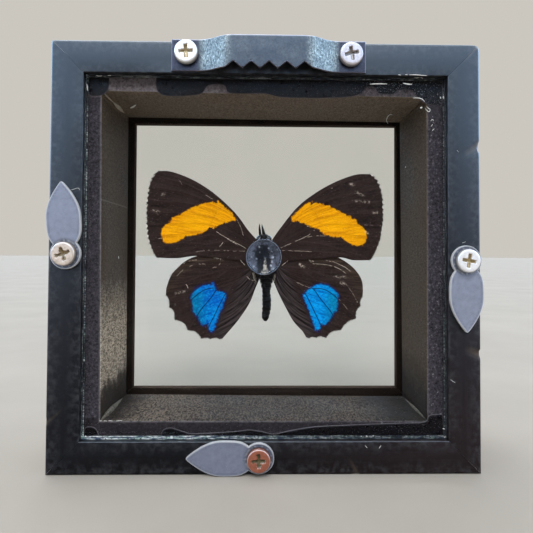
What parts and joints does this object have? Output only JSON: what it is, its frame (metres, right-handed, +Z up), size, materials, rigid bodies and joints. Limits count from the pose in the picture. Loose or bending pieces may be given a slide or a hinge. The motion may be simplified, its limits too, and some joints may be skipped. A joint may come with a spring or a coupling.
{
  "type": "framed butterfly specimen",
  "caption": "Small square double-glass shadow-box frame, seen from the back, holding a spread butterfly; sawtooth hanger and swivelling leaf-shaped turn buttons.",
  "frame": {"origin": "middle of the bottom face of the bottom moulding, on which the frame stands", "axes": "+Z up; +Y towards the display side; the back with the hanger and turn buttons faces -Y"},
  "size_m": [0.1005, 0.0351, 0.1006],
  "materials": {
    "black_wood": "satin black stain",
    "liner_board": "matt dark brown",
    "pane_glass": "clear",
    "sealant": "glossy black",
    "chitin_black": "furry",
    "wing_scales": "scaled, with orange and blue marks",
    "clear_acrylic": "clear",
    "glue": "dried glue",
    "zinc_plate": "bright zinc plated",
    "screw_steel": "plated",
    "frosted_plastic": "translucent"
  },
  "bodies": {
    "frame": {"moulding_top": "black_wood", "liner_top": "liner_board", "moulding_bottom": "black_wood", "liner_bottom": "liner_board", "moulding_left": "black_wood", "liner_left": "liner_board", "moulding_right": "black_wood", "liner_right": "liner_board", "rear_pane": "pane_glass", "front_pane": "pane_glass", "sealant_top": "sealant", "sealant_top_left": "sealant", "sealant_bottom": "sealant", "sealant_bottom_left": "sealant", "body": "chitin_black", "forewing_left": "wing_scales", "forewing_right": "wing_scales", "hindwing_left": "wing_scales", "hindwing_right": "wing_scales", "mounting_post": "clear_acrylic", "glue_dab": "glue", "hanger": "zinc_plate", "hanger_screw_left": "screw_steel", "hanger_screw_right": "screw_steel", "button_screw_left": "screw_steel", "button_screw_right": "screw_steel", "button_screw_bottom": "screw_steel"},
    "button_left": {"turn_button_left": "frosted_plastic"},
    "button_right": {"turn_button_right": "frosted_plastic"},
    "button_bottom": {"turn_button_bottom": "frosted_plastic"}
  },
  "joints": [
    {"name": "left_button_swivel", "type": "hinge", "parent": "frame", "child": "button_left", "pos_m": [-0.0457, -0.01685, 0.0504], "axis": [0, -1, 0], "continuous": true},
    {"name": "right_button_swivel", "type": "hinge", "parent": "frame", "child": "button_right", "pos_m": [0.0463, -0.01685, 0.0492], "axis": [0, -1, 0], "continuous": true},
    {"name": "bottom_button_swivel", "type": "hinge", "parent": "frame", "child": "button_bottom", "pos_m": [-0.0014, -0.01685, 0.00407], "axis": [0, -1, 0], "continuous": true}
  ]
}
